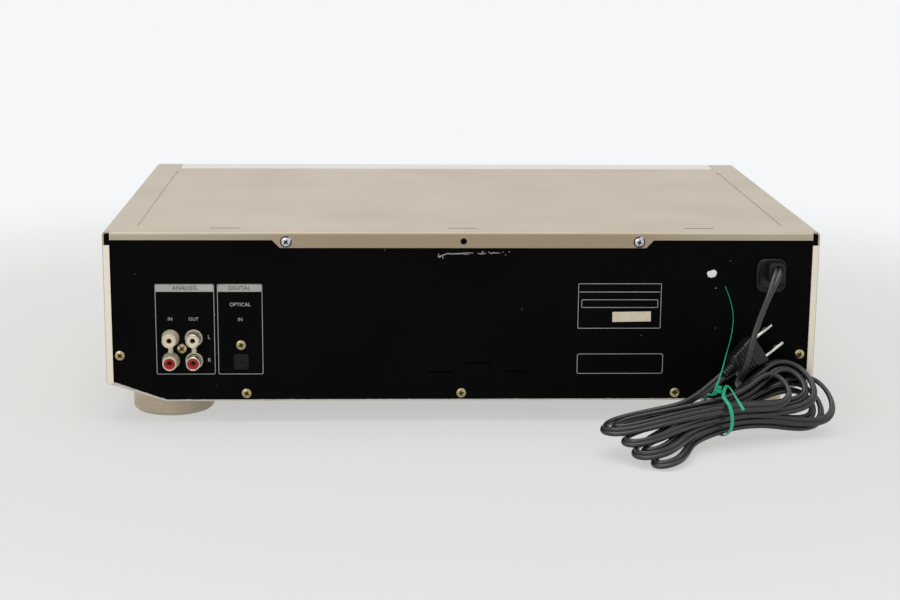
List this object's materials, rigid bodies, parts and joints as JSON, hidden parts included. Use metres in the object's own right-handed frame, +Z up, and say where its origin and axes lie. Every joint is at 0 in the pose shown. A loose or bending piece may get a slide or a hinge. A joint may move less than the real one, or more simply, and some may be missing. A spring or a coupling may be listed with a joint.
{
  "type": "minidisc deck",
  "caption": "Full-width minidisc recorder deck with a disc tray, recording slot, display, dials, rear line and optical jacks and a tied mains lead.",
  "frame": {"origin": "on the table, under the middle of the deck without its lead", "axes": "+Z up, +X to the right seen from the front, -Y towards the front panel, +Y towards the rear panel"},
  "size_m": [0.4388, 0.3964, 0.118],
  "materials": {
    "zinc": "zinc-plated pressed sheet steel",
    "champagne": "satin champagne paint on sheet steel",
    "panel_black": "semi-matte black paint on sheet steel",
    "front_plastic": "champagne moulded plastic",
    "smoked": "dark smoked acrylic",
    "display_glass": "display tube glass",
    "foot_metal": "turned and brushed champagne metal",
    "laminate": "circuit board laminate",
    "steel_core": "varnished transformer laminations",
    "aluminium": "satin aluminium",
    "sleeve": "shrink sleeve",
    "beige_plastic": "beige moulded plastic",
    "jack_white": "white jack insert in a metal ring",
    "jack_red": "red jack insert in a metal ring",
    "grey_plastic": "dark grey moulded plastic",
    "black_plastic": "black moulded plastic",
    "white_plastic": "white moulded plastic",
    "cord_pvc": "soft black PVC",
    "nickel": "nickel plate",
    "tie_green": "green plastic-covered wire",
    "rec_red": "red moulded plastic"
  },
  "bodies": {
    "deck": {"chassis": "zinc", "rear_panel": "panel_black", "top_cover": "champagne", "front_panel": "front_plastic", "display_window": "smoked", "display_tube": "display_glass", "foot_front_left": "foot_metal", "foot_front_right": "foot_metal", "foot_rear_left": "foot_metal", "foot_rear_right": "foot_metal", "main_board": "laminate", "power_board": "laminate", "front_board": "laminate", "power_transformer": "steel_core", "heat_sink": "aluminium", "filter_capacitor": "sleeve", "jack_block": "beige_plastic", "jack_in_left": "jack_white", "jack_in_right": "jack_red", "jack_out_left": "jack_white", "jack_out_right": "jack_red", "optical_socket": "grey_plastic", "optical_plug": "grey_plastic", "cord_bush": "black_plastic", "mains_cord": "cord_pvc", "cord_hank": "cord_pvc", "mains_plug": "cord_pvc", "plug_blade_left": "nickel", "plug_blade_right": "nickel", "twist_tie": "tie_green", "cd_frame": "black_plastic", "clamp_bridge": "zinc", "md_frame": "zinc", "phones_jack": "black_plastic"},
    "tray": {"cd_tray": "black_plastic", "tray_front": "front_plastic"},
    "loading_gear": {"loading_gear": "white_plastic"},
    "traverse": {"cd_traverse": "grey_plastic", "sled_rod": "nickel", "spindle_motor": "nickel"},
    "turntable": {"cd_turntable": "black_plastic"},
    "clamp": {"disc_clamp": "black_plastic"},
    "sled": {"cd_sled": "black_plastic"},
    "feed_gear": {"feed_gear": "white_plastic"},
    "md_holder": {"md_holder": "zinc"},
    "md_flap": {"md_flap": "black_plastic"},
    "md_turntable": {"md_turntable": "nickel"},
    "md_sled": {"md_sled": "black_plastic"},
    "power_button": {"power_button": "front_plastic"},
    "open_button": {"open_button": "front_plastic"},
    "eject_button": {"eject_button": "front_plastic"},
    "cd_play_button": {"cd_play_button": "front_plastic"},
    "cd_stop_button": {"cd_stop_button": "front_plastic"},
    "md_play_button": {"md_play_button": "front_plastic"},
    "md_stop_button": {"md_stop_button": "front_plastic"},
    "rec_button": {"rec_button": "rec_red"},
    "jog_dial": {"jog_dial": "aluminium"},
    "rec_level_knob": {"rec_level_knob": "aluminium"},
    "phones_knob": {"phones_knob": "aluminium"},
    "input_switch": {"input_switch": "black_plastic"}
  },
  "joints": [
    {"name": "tray_slide", "type": "slide", "parent": "deck", "child": "tray", "axis": [0, -1, 0], "range_m": [0, 0.14]},
    {"name": "loading_gear_spin", "type": "hinge", "parent": "deck", "child": "loading_gear", "pos_m": [-0.03, -0.11145, 0.093], "axis": [0, 0, 1], "range_deg": [-540, 0]},
    {"name": "traverse_tilt", "type": "hinge", "parent": "deck", "child": "traverse", "pos_m": [-0.062, 0.04255, 0.079], "axis": [1, 0, 0], "range_deg": [0, 5]},
    {"name": "turntable_spin", "type": "hinge", "parent": "traverse", "child": "turntable", "pos_m": [-0.062, -0.06645, 0.096], "axis": [0, 0, 1], "continuous": true},
    {"name": "clamp_spin", "type": "hinge", "parent": "deck", "child": "clamp", "pos_m": [-0.062, -0.06645, 0.106], "axis": [0, 0, 1], "continuous": true},
    {"name": "sled_slide", "type": "slide", "parent": "traverse", "child": "sled", "axis": [0, 1, 0], "range_m": [0, 0.034]},
    {"name": "feed_gear_spin", "type": "hinge", "parent": "traverse", "child": "feed_gear", "pos_m": [-0.036, -0.01645, 0.086], "axis": [0, 0, 1], "range_deg": [-330, 0]},
    {"name": "md_load", "type": "slide", "parent": "deck", "child": "md_holder", "axis": [0, 0, -1], "range_m": [0, 0.005]},
    {"name": "md_flap_hinge", "type": "hinge", "parent": "deck", "child": "md_flap", "pos_m": [0.118, -0.13315, 0.103], "axis": [1, 0, 0], "range_deg": [0, 75]},
    {"name": "md_spin", "type": "hinge", "parent": "deck", "child": "md_turntable", "pos_m": [0.118, -0.08325, 0.086], "axis": [0, 0, 1], "continuous": true},
    {"name": "md_sled_slide", "type": "slide", "parent": "deck", "child": "md_sled", "axis": [0, 1, 0], "range_m": [0, 0.014]},
    {"name": "power_button_press", "type": "slide", "parent": "deck", "child": "power_button", "axis": [0, 1, 0], "range_m": [0, 0.0015], "stiffness_N_per_m": 300},
    {"name": "open_button_press", "type": "slide", "parent": "deck", "child": "open_button", "axis": [0, 1, 0], "range_m": [0, 0.0015], "stiffness_N_per_m": 300},
    {"name": "eject_button_press", "type": "slide", "parent": "deck", "child": "eject_button", "axis": [0, 1, 0], "range_m": [0, 0.0015], "stiffness_N_per_m": 300},
    {"name": "cd_play_button_press", "type": "slide", "parent": "deck", "child": "cd_play_button", "axis": [0, 1, 0], "range_m": [0, 0.0015], "stiffness_N_per_m": 300},
    {"name": "cd_stop_button_press", "type": "slide", "parent": "deck", "child": "cd_stop_button", "axis": [0, 1, 0], "range_m": [0, 0.0015], "stiffness_N_per_m": 300},
    {"name": "md_play_button_press", "type": "slide", "parent": "deck", "child": "md_play_button", "axis": [0, 1, 0], "range_m": [0, 0.0015], "stiffness_N_per_m": 300},
    {"name": "md_stop_button_press", "type": "slide", "parent": "deck", "child": "md_stop_button", "axis": [0, 1, 0], "range_m": [0, 0.0015], "stiffness_N_per_m": 300},
    {"name": "rec_button_press", "type": "slide", "parent": "deck", "child": "rec_button", "axis": [0, 1, 0], "range_m": [0, 0.0015], "stiffness_N_per_m": 300},
    {"name": "jog_dial_turn", "type": "hinge", "parent": "deck", "child": "jog_dial", "pos_m": [0.114, -0.14525, 0.055], "axis": [0, 1, 0], "continuous": true},
    {"name": "rec_level_knob_turn", "type": "hinge", "parent": "deck", "child": "rec_level_knob", "pos_m": [0.172, -0.14525, 0.055], "axis": [0, 1, 0], "range_deg": [-150, 150]},
    {"name": "phones_knob_turn", "type": "hinge", "parent": "deck", "child": "phones_knob", "pos_m": [-0.158, -0.14525, 0.04], "axis": [0, 1, 0], "range_deg": [-150, 150]},
    {"name": "input_switch_slide", "type": "slide", "parent": "deck", "child": "input_switch", "axis": [1, 0, 0], "range_m": [-0.004, 0.004]}
  ],
  "couplings": [
    {"joint": "loading_gear_spin", "follows": "tray_slide", "rad_per_m": -66.667},
    {"joint": "feed_gear_spin", "follows": "sled_slide", "rad_per_m": -166.67},
    {"joint": "clamp_spin", "follows": "turntable_spin", "ratio": 1}
  ]
}
